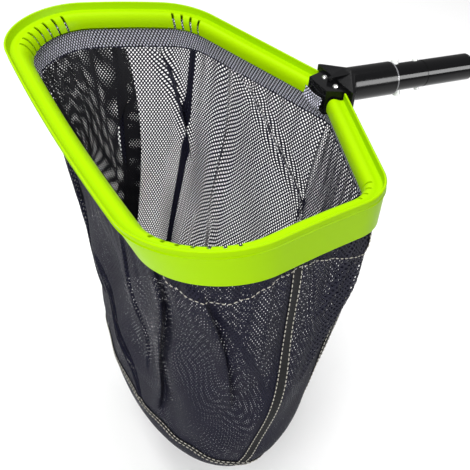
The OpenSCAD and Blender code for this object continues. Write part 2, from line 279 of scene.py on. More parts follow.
@dataclass(frozen=True)
class Moulded:
    """Moulded plastic: a base colour with slow colour variation, fine moulded ripple and small wear marks."""

    name: str
    colour: tuple[float, float, float]
    gloss: Gloss
    spread: float = 0.06
    shine: float = 0.5

    def build(self) -> bpy.types.Material:
        """Makes the material: colour = base x (1 +- spread x slow noise), roughness = class + fine noise."""
        g = Graph(self.name)
        rough, ripple = self.gloss.value
        slow = g.noise(9.0, 3.0)
        low = tuple(c * (1 - self.spread) for c in self.colour)
        high = tuple(min(1.0, c * (1 + self.spread)) for c in self.colour)
        fine = g.noise(340.0, 3.0)
        spots = g.math("MULTIPLY_ADD", fine, 0.10, rough - 0.05)
        height = g.math("ADD", g.noise(46.0, 2.0), g.math("MULTIPLY", fine, 0.15))
        return g.surface(base_color=g.blend(low, high, slow), roughness=spots,
                         normal=g.bump(height, ripple, 0.8),
                         specular_ior_level=self.shine, ior=1.49)


@dataclass(frozen=True)
class DrawnMetal:
    """Satin metal with fine scratches along its length."""

    name: str
    colour: tuple[float, float, float]
    rough: float = 0.3

    def build(self) -> bpy.types.Material:
        """Makes the material: noise stretched along Y gives the drawn lines."""
        g = Graph(self.name)
        where = g.add("Mapping", {"Vector": g.add("TexCoord").outputs["Object"], "Scale": (900, 20, 900)}).outputs[0]
        lines = g.noise(1.0, 3.0, where)
        low = tuple(c * 0.85 for c in self.colour)
        return g.surface(base_color=g.blend(low, self.colour, lines), metallic=0.9, roughness=self.rough,
                         normal=g.bump(lines, 0.00003))


@dataclass(frozen=True)
class OpenNet:
    """Knitted net: two families of slanting threads leave diamond openings, which are see-through unless a painted
    light colour is given; with it the openings are opaque and painted pale, in place of the light that shows through
    them.
    """

    name: str
    colour: tuple[float, float, float]
    pitch: float = 0.0038
    thread: float = 0.46
    slant: float = 1.3
    soft: float = 0.04
    painted_see_through_light: tuple | None = None

    def build(self) -> bpy.types.Material:
        """Makes the material: a thread is where either slanted saw wave is above one minus the thread's share."""
        g = Graph(self.name)
        uv = g.add("SeparateXYZ", {0: g.add("UVMap").outputs[0]})
        u = g.math("DIVIDE", uv.outputs[0], self.pitch)
        v = g.math("DIVIDE", uv.outputs[1], self.pitch * self.slant)
        waves = []
        for pair in (g.math("ADD", u, v), g.math("SUBTRACT", u, v)):
            saw = g.math("SUBTRACT", g.math("FRACT", pair), 0.5)
            waves.append(g.math("MULTIPLY", g.math("ABSOLUTE", saw), 2.0))
        ridge = g.math("MAXIMUM", waves[0], waves[1])
        cover = g.add("MapRange", {0: ridge, 1: 1 - self.thread - self.soft, 2: 1 - self.thread + self.soft,
                                   3: 0.0, 4: 1.0}, clamp=True).outputs[0]
        tint = g.noise(30.0, 2.0)
        low = tuple(c * 0.6 for c in self.colour)
        colour, alpha = g.blend(low, self.colour, tint), cover
        # painted light: with this colour the openings turn opaque and pale, standing in for the light seen through the
        # net
        if self.painted_see_through_light is not None:
            mix = g.add("Mix", {0: cover, 6: (*self.painted_see_through_light, 1), 7: colour}, data_type="RGBA")
            colour, alpha = mix.outputs[2], 1.0
        return g.surface(base_color=colour, roughness=0.62, alpha=alpha,
                         normal=g.bump(ridge, 0.0004, 0.6), specular_ior_level=0.15)


@dataclass(frozen=True)
class WovenTape:
    """Close woven tape: cross ribs over lengthwise yarns in the surface's relief, with painted shade that darkens the
    tone in the relief's low places.
    """

    name: str
    colour: tuple[float, float, float]
    rib: float = 0.0011

    def build(self) -> bpy.types.Material:
        """Makes the material: relief is a product of two sine waves along and across the tape, and the same product
        paints shade, taking the colour down to half where the relief is lowest.
        """
        g = Graph(self.name)
        uv = g.add("SeparateXYZ", {0: g.add("UVMap").outputs[0]})
        along = g.math("SINE", g.math("MULTIPLY", uv.outputs[1], 2 * math.pi / self.rib))
        across = g.math("SINE", g.math("MULTIPLY", uv.outputs[0], 2 * math.pi / (self.rib * 0.8)))
        relief_and_hollow_shade = g.math("MULTIPLY_ADD", g.math("MULTIPLY", along, across), 0.5, 0.5)
        # painted shade: the colour falls to half in the weave's hollows
        low = tuple(c * 0.5 for c in self.colour)
        return g.surface(base_color=g.blend(low, self.colour, relief_and_hollow_shade), roughness=0.8,
                         normal=g.bump(relief_and_hollow_shade, 0.0003, 0.8), specular_ior_level=0.2)


# ---------------------------------------------------------------- the frame's line


@dataclass(frozen=True)
class Trace:
    """A finely sampled path in plan: points, outward directions and the length run so far."""

    xy: np.ndarray
    out: np.ndarray
    run: np.ndarray

    def at(self, s: np.ndarray) -> tuple[np.ndarray, np.ndarray]:
        """Points and outward directions at given lengths, by straight interpolation between samples."""
        xy = np.stack([np.interp(s, self.run, self.xy[:, k]) for k in (0, 1)], axis=-1)
        out = np.stack([np.interp(s, self.run, self.out[:, k]) for k in (0, 1)], axis=-1)
        return xy, out / np.linalg.norm(out, axis=-1, keepdims=True)


@dataclass(frozen=True)
class Outline:
    """Plan and rise of the frame: five straights and four corners, in metres."""

    front_w: float = 0.508
    rear_w: float = 0.408
    side_l: float = 0.221
    frame_l: float = 0.290
    yoke_gap: float = 0.036
    front_r: float = 0.082
    rear_r: float = 0.066
    lip_bow: float = 0.009
    arch_h: float = 0.009
    crown_h: float = 0.004
    lean: float = math.tan(math.radians(17.0))
    shoulder: float = 0.359
    blade_z: float = 0.0055
    bow_reach: float = 0.06

    def knots(self, end_y: float) -> np.ndarray:
        """The outline's six knots, from the near end at the yoke round the lip to the far end."""
        half = self.rear_w / 2
        x = self.side_l + (self.frame_l - self.side_l) * (half - end_y) / (half - self.yoke_gap / 2)
        return np.array([[x, -end_y], [self.side_l, -half], [0, -self.front_w / 2],
                         [0, self.front_w / 2], [self.side_l, half], [x, end_y]])

    def corners(self, end_y: float) -> tuple[np.ndarray, np.ndarray, np.ndarray, np.ndarray, np.ndarray]:
        """Directions, outward directions, radii, setbacks and turns of the outline.

        A setback is the corner's radius times the tangent of half its turn.
        """
        k = self.knots(end_y)
        d = np.diff(k, axis=0)
        d /= np.linalg.norm(d, axis=1, keepdims=True)
        out = np.stack([-d[:, 1], d[:, 0]], axis=1)
        r = np.array([0, self.rear_r, self.front_r, self.front_r, self.rear_r, 0])
        turn = np.concatenate([[0], np.arccos(np.clip((d[:-1] * d[1:]).sum(1), -1, 1)), [0]])
        return d, out, r, r * np.tan(turn / 2), turn

    def trace(self, end_y: float, pitch: float = 0.0005) -> Trace:
        """Samples the outline along its straights and arcs.

        Args:
            end_y: Half width at which it stops short of the yoke.
            pitch: Largest distance between samples.

        Returns:
            The path.
        """
        k = self.knots(end_y)
        d, out, r, back, turn = self.corners(end_y)
        xy, no = [], []
        for i in range(5):
            a, b = k[i] + d[i] * back[i], k[i + 1] - d[i] * back[i + 1]
            f = np.linspace(0, 1, int(np.linalg.norm(b - a) / pitch) + 2)[:, None]
            xy.append(a + (b - a) * f)
            no.append(np.repeat(out[i][None], len(f), axis=0))
            if i < 4:
                centre = b - out[i] * r[i + 1]
                start = math.atan2(out[i][1], out[i][0])
                ang = start - np.linspace(0, turn[i + 1], int(r[i + 1] * turn[i + 1] / pitch) + 2)[1:-1]
                ray = np.stack([np.cos(ang), np.sin(ang)], axis=1)
                xy.append(centre + ray * r[i + 1])
                no.append(ray)
        xy, no = np.vstack(xy), np.vstack(no)
        return Trace(xy, no, run_along(xy))

    def corner_runs(self, end_y: float) -> np.ndarray:
        """Length run from the path's start to the middle of each of the four corners."""
        k = self.knots(end_y)
        _, _, r, back, turn = self.corners(end_y)
        legs = np.linalg.norm(np.diff(k, axis=0), axis=1) - back[:-1] - back[1:]
        arcs = (r * turn)[1:-1]
        return np.cumsum(legs)[:4] + np.cumsum(arcs) - arcs / 2

    def place(self, xy: np.ndarray, out: np.ndarray, o: np.ndarray, w: np.ndarray) -> np.ndarray:
        """Puts a section's point in space.

        x = plan + outward x o - bow - w x lean - shoulder, and z = arch + crown + w + the blade's height. The bow
        is a parabola across the lip that fades back from it, and the arch a parabola from lip to yoke.

        Args:
            xy: Plan points.
            out: Outward directions.
            o: Distance outward.
            w: Distance upward.

        Returns:
            The points.
        """
        u, v = xy[..., 0], xy[..., 1]
        across = (2 * v / self.front_w) ** 2
        bow = self.lip_bow * np.maximum(0, 1 - across) * np.exp(-((np.maximum(u, 0) / self.bow_reach) ** 2))
        rise = 4 * self.arch_h * u * (self.frame_l - u) / self.frame_l**2 + self.crown_h * across
        x = u + out[..., 0] * o - bow - w * self.lean - self.shoulder
        return np.stack([x, v + out[..., 1] * o, rise + w + self.blade_z], axis=-1)

    def carry(self, trace: Trace, s: np.ndarray, section: np.ndarray) -> np.ndarray:
        """Carries a section of (outward, up) pairs along a path: rings by points by three."""
        xy, out = trace.at(s)
        return self.place(xy[:, None], out[:, None], section[None, :, 0], section[None, :, 1])


# ---------------------------------------------------------------- rim guard


@dataclass(frozen=True)
class RimGuard:
    """Green lip: a tall outer blade and a hooded channel over the hoop, with relief slits in its corners."""

    outline: Outline
    end_y: float = 0.027
    blade_h: float = 0.045
    flare: float = 0.013
    wall: float = 0.0024
    slit_w: float = 0.0017
    slit_pitch: float = 0.014
    rear_slits: int = 4
    front_slits: int = 7
    # the hood's profile from the blade over the hoop to its inner edge: outward and up, in millimetres
    hood: tuple = ((-1.6, -6.2), (-3.6, -7.4), (-6.0, -8.1), (-8.6, -7.9), (-11.4, -7.0), (-14.4, -6.9),
                   (-17.4, -8.4), (-19.9, -11.2), (-21.6, -14.6), (-22.6, -18.2), (-23.2, -22.0))
    crest: float = 0.46
    ring_pitch: float = 0.0042
    slit_margin: float = 0.0012
    profile_points: int = 41

    def blade_section(self) -> np.ndarray:
        """Closed section of the blade with rounded upper and lower edges, leaning in by flare over its height."""
        r = self.wall / 2
        mid = np.array([[0, -r], [-self.flare + r, -self.blade_h + r]]) - [[r, 0], [0, 0]]
        ang = np.linspace(0, math.pi, 9)
        top = mid[0] + r * np.stack([np.cos(ang), np.sin(ang)], axis=1)
        low = mid[1] + r * np.stack([-np.cos(ang), -np.sin(ang)], axis=1)
        inner = top[-1] + (low[0] - top[-1]) * np.linspace(0, 1, 8)[1:-1, None]
        outer = low[-1] + (top[0] - low[-1]) * np.linspace(0, 1, 8)[1:-1, None]
        return np.vstack([top, inner, low, outer])

    def slits(self) -> np.ndarray:
        """Lengths run to the middle of each slit, spaced about the middle of each corner."""
        runs = self.outline.corner_runs(self.end_y)
        counts = (self.rear_slits, self.front_slits, self.front_slits, self.rear_slits)
        return np.concatenate([c + (np.arange(n) - (n - 1) / 2) * self.slit_pitch for c, n in zip(runs, counts)])

    def hood_piece(self) -> bpy.types.Object:
        """The hood: its profile is carried along the path as a grid, whose cells in the slits are left out."""
        trace = self.outline.trace(self.end_y)
        mids = self.slits()
        # a length on the path is shorter at the hood, inside the corner, so half a slit takes its whole width there
        half = self.slit_w
        free = np.arange(0, trace.run[-1], self.ring_pitch)
        free = free[np.abs(free[:, None] - mids[None]).min(axis=1) > half + self.slit_margin]
        s = np.unique(np.concatenate([free, mids - half, mids + half, [trace.run[-1]]]))
        profile = smooth_curve(np.array(self.hood) / 1000, self.profile_points)
        rings = self.outline.carry(trace, s, profile)
        middle = (s[1:] + s[:-1]) / 2
        in_slit = np.abs(middle[:, None] - mids[None]).min(axis=1) < half
        beyond = np.linspace(0, 1, self.profile_points - 1) > self.crest
        keep = ~(in_slit[:, None] & beyond[None, :])
        used, faces = np.unique(grid_faces(*rings.shape[:2], keep=keep), return_inverse=True)
        obj = put_mesh("rim_guard_hood", rings.reshape(-1, 3)[used], faces.reshape(-1, 4))
        thicken(obj, "wall", self.wall * 0.9, -1.0).use_even_offset = True
        edge = obj.modifiers.new("edges", "BEVEL")
        edge.width, edge.segments, edge.limit_method, edge.angle_limit = 0.0005, 2, "ANGLE", math.radians(50)
        edge.harden_normals = True
        return obj

    def build(self, finish: bpy.types.Material) -> None:
        """Makes the blade and the hood and dresses them."""
        trace = self.outline.trace(self.end_y)
        s = np.linspace(0, trace.run[-1], 420)
        blade = closed_sweep("rim_guard_blade", self.outline.carry(trace, s, self.blade_section()))
        blade.data.set_sharp_from_angle(angle=math.radians(40))
        for obj in (blade, self.hood_piece()):
            dress(obj, finish, "rim_guard")
            LOG.info("rim guard piece %s", obj.name)


# ---------------------------------------------------------------- net bag


class Side(Enum):
    """The bag's four walls: which seam each starts and ends at, in order round the mouth."""

    near = (0, 1)
    front = (1, 2)
    far = (2, 3)
    rear = (3, 4)


@dataclass(frozen=True)
class Fold:
    """A pleat that runs down one wall of net.

    It goes from a place at its top to another at its low end, both shares of the wall's width from its first seam
    (outside 0 to 1 it runs over a seam). Its start and end are shares of the bag's depth. Its width and its standing
    height are in metres, and it slides the cloth over itself by a multiple of its width.
    """

    side: Side
    top: float
    low: float
    start: float
    end: float
    width: float
    rise: float
    over: float = 2.2

    def live(self, t: np.ndarray) -> tuple[np.ndarray, np.ndarray]:
        """How far down the pleat each depth is, and its strength there: the root of a half sine wave, else nought."""
        h = (t - self.start) / (self.end - self.start)
        inside = np.clip(h, 0, 1)
        return inside, np.where((h > 0) & (h < 1), np.sqrt(np.maximum(np.sin(np.pi * inside), 0)), 0.0)


@dataclass(frozen=True)
class Swell:
    """A slow wave of slack: its height, waves round the mouth, waves down, phase, and the depth where it ends."""

    rise: float
    across: float
    down: float
    phase: float
    end: float

    def lift(self, s: np.ndarray, t: np.ndarray) -> np.ndarray:
        """Its height at a place: a sine over both directions, under half a sine wave down to its end."""
        wave = np.sin(2 * np.pi * (self.across * s + self.down * t) + self.phase)
        return self.rise * wave * np.sin(np.pi * np.clip(t / self.end, 0, 1))


@dataclass(frozen=True)
class BagShape:
    """The hanging bag as one surface over the place round the mouth and the share of its depth."""

    outline: Outline
    mouth_o: float = -0.0186
    mouth_w: float = -0.0464
    floor: float = 0.041
    depth: float = 0.333
    taper: float = 0.40
    shift: tuple = (-0.028, -0.017)
    belly: tuple = (0.0065, -0.012)
    centre: tuple = (-0.209, 0.0)
    half: tuple = (0.106, 0.245)
    turn: tuple = (0.150, 0.230)
    round_rate: float = 1.35
    close_power: float = 11.6
    girth: float = 1.30
    fall: float = 0.40
    gathers: int = 61
    gather_h: float = 0.0016
    gather_fade: float = 0.10
    swells: tuple = (Swell(0.0035, 7, 1.3, 0.0, 0.8), Swell(0.0022, 13, -2.1, 1.0, 0.9))
    folds: tuple = ()

    def round_at(self, t: np.ndarray) -> np.ndarray:
        """Length round the bag at a depth, taken as its girth less the taper's share."""
        return self.girth * (1 - self.taper * t)

    def mouth(self) -> Trace:
        """The mouth's closed path: the outline from end to end, and a chord across the yoke."""
        base = self.outline.trace(0.010)
        gap = float(np.linalg.norm(base.xy[-1] - base.xy[0]))
        f = np.linspace(0, 1, 41)[1:, None]
        xy = np.vstack([base.xy, base.xy[-1] + (base.xy[0] - base.xy[-1]) * f])
        out = np.vstack([base.out, base.out[-1] + (base.out[0] - base.out[-1]) * f])
        return Trace(xy, out, np.concatenate([base.run, base.run[-1] + gap * f[:, 0]]))

    def seams(self) -> np.ndarray:
        """Places of the four upright seams, as shares of the mouth's length.

        Two are at the middles of the rear corners and two at the middles of the two sides.
        """
        near_rear, near_front, far_front, far_rear = self.outline.corner_runs(0.010)
        runs = (near_rear, (near_rear + near_front) / 2, (far_front + far_rear) / 2, far_rear)
        return np.array(runs) / self.mouth().run[-1]

    def seam(self, number: int) -> float:
        """Place of a seam, where seam 4 is seam 0 a full turn on."""
        return float(self.seams()[number % 4]) + number // 4

    def plain(self, s: np.ndarray, t: np.ndarray) -> np.ndarray:
        """A point of the bag without its pleats.

        The plan goes from the mouth's outline to an ellipse as the depth grows, shrinks with the taper, closes at
        the bottom by a power law, and moves aside by the lean.

        Args:
            s: Place round the mouth, a share of its length.
            t: Share of the depth.

        Returns:
            The points.
        """
        mouth = self.mouth()
        s, t = np.broadcast_arrays(np.asarray(s, float), np.asarray(t, float))
        xy, out = mouth.at(np.mod(s, 1.0) * mouth.run[-1])
        m = self.outline.place(xy, out, self.mouth_o, self.mouth_w)
        rim = m[..., :2] - np.array(self.centre)
        a = np.arctan2(rim[..., 1] / self.turn[1], rim[..., 0] / self.turn[0])
        share = np.minimum(1, self.round_rate * t)[..., None]
        k = ((1 - self.taper * t) * np.maximum(1 - t**self.close_power, 0) ** 0.5)[..., None]
        ring = np.stack([self.half[0] * np.cos(a), self.half[1] * np.sin(a)], axis=-1)
        plan = (rim * (1 - share) + ring * share) * k
        moved = plan + np.array(self.centre) + np.array(self.shift) * t[..., None]
        moved = moved + np.array(self.belly) * (4 * t * (1 - t))[..., None]
        z = m[..., 2] * (1 - t) - (self.floor + self.depth) * t
        return np.concatenate([moved, z[..., None]], axis=-1)

    def shaped(self, s: np.ndarray, t: np.ndarray, out: float = 0.0) -> np.ndarray:
        """A point of the bag with its pleats and slack.

        Each pleat slides the cloth along the mouth by an odd bump, far enough to lie over itself, and lifts it by
        a like bump along the surface's normal. Fine gathers fade down from the mouth, and slow waves fill the rest.

        Args:
            s: Place round the mouth, a share of its length.
            t: Share of the depth.
            out: Distance outward from the cloth.

        Returns:
            The points.
        """
        s, t = np.broadcast_arrays(np.asarray(s, float), np.asarray(t, float))
        slide, lift = np.zeros_like(s), np.zeros_like(s)
        for f in self.folds:
            h, live = f.live(t)
            a, b = (self.seam(k) for k in f.side.value)
            at = a + (b - a) * (f.top + (f.low - f.top) * h)
            x = (np.mod(s - at + 0.5, 1.0) - 0.5) * self.girth / f.width
            bell = x * np.exp(-x * x)
            slide -= f.over * f.width / self.girth * bell * live
            lift += f.rise * bell * 2.3 * live
        gathers = np.sin(2 * np.pi * self.gathers * s + 2.0 * np.sin(9 * s))
        lift += self.gather_h * gathers * np.exp(-t / self.gather_fade) * np.minimum(t / 0.01, 1)
        for swell in self.swells:
            lift += swell.lift(s, t)
        where = s + slide
        p = self.plain(where, t)
        eps = 1e-3
        ds = self.plain(where + eps, t) - self.plain(where - eps, t)
        dt = self.plain(where, np.minimum(t + eps, 0.999)) - self.plain(where, np.maximum(t - eps, 0.0))
        n = np.cross(ds, dt)
        n /= np.maximum(np.linalg.norm(n, axis=-1, keepdims=True), 1e-9)
        middle = np.array([*self.centre, -0.2])
        n *= np.sign(((p - middle) * n).sum(-1, keepdims=True) + 1e-12)
        return p + n * (lift + out)[..., None]


@dataclass(frozen=True)
class Bag:
    """The bag's pieces: walls, slack, bottom, tapes, seam allowances, the hem's turned-in end and the stitching."""

    shape: BagShape
    wall_end: float = 0.80
    tape_w: float = 0.011
    strand: float = 0.0004
    hem_low: float = 0.05
    hem_wave: float = 0.025
    hem_waves: int = 7
    slack_deep: float = 0.45
    slack_from: float = 0.30
    rows: int = 110
    pitch: float = 0.0030
    tape_thick: float = 0.0007
    lining_u: float = 1.145
    lining_v: float = 0.37
    allowance_l: float = 0.29
    stitch_step: float = 0.0050
    stitch_l: float = 0.0038
    stitch_r: float = 0.00044

    def cloth(self, name: str, s: np.ndarray, t: np.ndarray, loop: bool, net: bpy.types.Material,
              rests: list[str]) -> None:
        """Makes one panel of net as an open sheet on a grid of places and depths.

        Args:
            name: The CAD node's name.
            s: Places round the mouth.
            t: Shares of the depth.
            loop: Whether the last place joins the first.
            net: The net's material.
            rests: What the panel hangs from; not used.
        """
        grid = self.shape.shaped(s[None, :], t[:, None])
        obj = put_mesh(name + "_net", grid, grid_faces(len(t), len(s), wrap=loop))
        set_uv(obj, s[None, :] * self.shape.round_at(0.3), run_along(self.shape.plain(0.5, t))[:, None])
        thicken(obj, "strands", self.strand)
        dress(obj, net, name)

    def walls(self, net: bpy.types.Material) -> None:
        """Makes the four walls between the seams."""
        for side in Side:
            a, b = self.shape.seam(side.value[0]), self.shape.seam(side.value[1])
            s = np.linspace(a, b, int((b - a) * self.shape.girth / self.pitch) + 2)
            t = np.linspace(0.0, self.wall_end, self.rows)
            self.cloth(f"bag_{side.name}_panel", s, t, False, net, ["hem_skirt_net"])

    def bottom(self, net: bpy.types.Material) -> None:
        """Makes the bottom bowl, with its last ring closed to a point by a fan of cells."""
        s = np.linspace(0, 1, int(1.0 / self.pitch) + 1)[:-1]
        t = 1 - (1 - self.wall_end) * (1 - np.linspace(0, 0.985, 52)) ** 2
        self.cloth("bag_bottom_panel", s, t, True, net, ["bag_front_panel_net", "bag_near_panel_net"])

    def tape(self, name: str, grid: np.ndarray, across: np.ndarray, along: np.ndarray, loop: bool,
             tape: bpy.types.Material) -> None:
        """Makes a tape as a thin closed strip over the net.

        Args:
            name: The CAD node's name.
            grid: Its points.
            across: Metres across the tape.
            along: Metres along it.
            loop: Whether its last column joins the first.
            tape: Its material.
        """
        obj = put_mesh(name + "_tape", grid, grid_faces(*grid.shape[:2], wrap=loop))
        set_uv(obj, across, along)
        thicken(obj, "cloth", self.tape_thick)
        dress(obj, tape, name)

    def build(self, net: bpy.types.Material, dense: bpy.types.Material, tape: bpy.types.Material,
              thread: bpy.types.Material) -> None:
        """Makes every piece of the bag."""
        self.walls(net)
        self.slack(dense)
        self.bottom(net)
        stitches = self.upright_tapes(tape)
        stitches.append(self.tuck(net))
        self.allowance("near_seam_allowance", 1, 0.011, dense)
        self.allowance("far_seam_allowance", 2, 0.022, dense)
        stitches += self.bottom_tape(tape)
        self.stitching(stitches, thread)

    def upright_tapes(self, tape: bpy.types.Material) -> list[np.ndarray]:
        """Makes the tapes down the four seams and returns the lines of their stitches."""
        stitches = []
        t = np.linspace(0.006, 0.79, 120)
        wide = np.linspace(-0.5, 0.5, 5) * self.tape_w
        narrow = self.shape.round_at(t)[:, None]
        for i, name in enumerate(("tape_rear_near", "tape_front_near", "tape_front_far", "tape_rear_far")):
            seat = self.shape.seam(i)
            grid = self.shape.shaped(seat + wide[None, :] / narrow, t[:, None], out=0.0008)
            self.tape(name, grid, wide[None, :], (t * self.shape.fall)[:, None], False, tape)
            for edge in (-0.44, 0.44):
                stitches.append(self.shape.shaped(seat + edge * self.tape_w / narrow[:, 0], t, out=0.0014))
        return stitches

    def bottom_tape(self, tape: bpy.types.Material) -> list[np.ndarray]:
        """Makes the tape round the top of the bottom and returns the lines of its stitches."""
        s = np.linspace(0, 1, 360, endpoint=False)
        lap = np.linspace(-0.5, 0.5, 5) * self.tape_w
        grid = self.shape.shaped(s[None, :], self.wall_end + lap[:, None] / self.shape.fall, out=0.0010)
        self.tape("tape_bottom", grid, s[None, :], lap[:, None], True, tape)
        stitches = []
        for edge in (-0.34, 0.34):
            line = self.shape.shaped(s, self.wall_end + edge * self.tape_w / self.shape.fall, out=0.0016)
            stitches.append(np.vstack([line, line[:1]]))
        return stitches

    def allowance(self, name: str, seam: int, widest: float, net: bpy.types.Material) -> None:
        """Makes a seam's allowance: two layers of net turned to the inside, widest at half of its length.

        Args:
            name: The object's name.
            seam: The seam it belongs to; the allowance lies on the side of growing places.
            widest: Its greatest width.
            net: The net's material.
        """
        t = np.linspace(0.008, 0.78, 100)
        v = np.linspace(0, 1, 12)
        wide = widest * (0.4 + 0.6 * np.sin(np.pi * np.clip(t / 0.78, 0, 1)) ** 0.7)
        s = self.shape.seam(seam) + v[None, :] * (wide / self.shape.round_at(t))[:, None]
        layers = [self.shape.shaped(s, t[:, None], out=-gap) for gap in (0.0015, 0.0032)]
        grid = np.concatenate([layers[0], layers[1][:, ::-1]], axis=1)
        obj = put_mesh(name, grid, grid_faces(*grid.shape[:2]))
        across = np.concatenate([v, 2.15 - v[::-1]]) * 0.02
        set_uv(obj, across[None, :], (t * self.shape.fall)[:, None])
        dress(obj, net)
        LOG.info("seam allowance %s", name)

    def tuck(self, net: bpy.types.Material) -> np.ndarray:
        """Makes the hem's turned-in end: a second layer of net inside the bag's top, with a wavy lower edge.

        It runs from the near wall's rear seam to the middle of the front wall.

        Args:
            net: The net's material.

        Returns:
            The line of stitches along its lower edge.
        """
        s = np.linspace(self.shape.seam(0), (self.shape.seam(1) + self.shape.seam(2)) / 2, 200)
        low = self.hem_low + self.hem_wave * np.sin(2 * np.pi * (self.hem_waves * s + 0.1))
        v = np.linspace(0, 1, 10)[:, None]
        where, t = np.broadcast_arrays(s[None, :], low[None, :] * v)
        grid = self.shape.shaped(where, t, out=-0.0012)
        obj = put_mesh("hem_tuck", grid, grid_faces(*grid.shape[:2]))
        set_uv(obj, where * self.lining_u + 0.001, t * self.lining_v)
        dress(obj, net)
        return self.shape.shaped(s, low * 0.97, out=0.0009)

    def slack(self, net: bpy.types.Material) -> None:
        """Makes the front wall's slack: a second layer of denser net that droops inside it towards the far seam.

        Its depth grows with the square of the place along the wall, and it stands off the wall by a sine bulge.
        """
        a, b = self.shape.seam(1), self.shape.seam(2)
        f = np.linspace(self.slack_from, 1.0, 240)[None, :]
        v = np.linspace(0, 1, 60)[:, None]
        deep = 0.15 + self.slack_deep * ((f - self.slack_from) / (1 - self.slack_from)) ** 2
        s, t = np.broadcast_arrays(a + (b - a) * (f + 0.02 * np.sin(3 * np.pi * v)), 0.004 + (deep - 0.004) * v)
        gap = 0.003 + 0.006 * np.sin(np.pi * v) * (1 + 0.4 * np.sin(23 * f))
        wall = self.shape.shaped(s, t)
        grid = wall + (self.shape.shaped(s, t, out=-1.0) - wall) * gap[..., None]
        obj = put_mesh("front_slack", grid, grid_faces(*grid.shape[:2]))
        set_uv(obj, s * self.lining_u + 0.0013, t * self.lining_v)
        dress(obj, net)

    def stitching(self, lines: list[np.ndarray], thread: bpy.types.Material) -> None:
        """Lays short stitches of pale thread along lines: each is a small six-sided bar with pointed ends.

        Args:
            lines: Points along each line.
            thread: The thread's material.
        """
        heads, tails = [], []
        for line in lines:
            run = run_along(line)
            at = np.arange(0, run[-1] - self.stitch_l, self.stitch_step)
            for ends, where in ((heads, at), (tails, at + self.stitch_l)):
                ends.append(np.stack([np.interp(where, run, line[:, k]) for k in range(3)], axis=1))
        a, b, r = np.vstack(heads), np.vstack(tails), self.stitch_r
        d = (b - a) / np.linalg.norm(b - a, axis=1, keepdims=True)
        side = np.cross(d, [0.3, 0.5, 0.8])
        side /= np.linalg.norm(side, axis=1, keepdims=True)
        up = np.cross(d, side)
        ang = np.linspace(0, 2 * np.pi, 6, endpoint=False)
        ring = np.cos(ang)[None, :, None] * side[:, None] + np.sin(ang)[None, :, None] * up[:, None]
        points = np.concatenate([a[:, None], a[:, None] * 0.75 + b[:, None] * 0.25 + r * ring,
                                 a[:, None] * 0.25 + b[:, None] * 0.75 + r * ring, b[:, None]], axis=1)
        k = np.arange(6)
        n = (k + 1) % 6
        one = [(0, 1 + n[i], 1 + k[i]) for i in k] + [(1 + k[i], 1 + n[i], 7 + n[i], 7 + k[i]) for i in k]
        one += [(13, 7 + k[i], 7 + n[i]) for i in k]
        faces = [tuple(c + 14 * j for c in f) for j in range(len(points)) for f in one]
        obj = put_mesh("seam_stitching", points, faces)
        fix_outward(obj)
        dress(obj, thread)
        LOG.info("%d stitches", len(points))


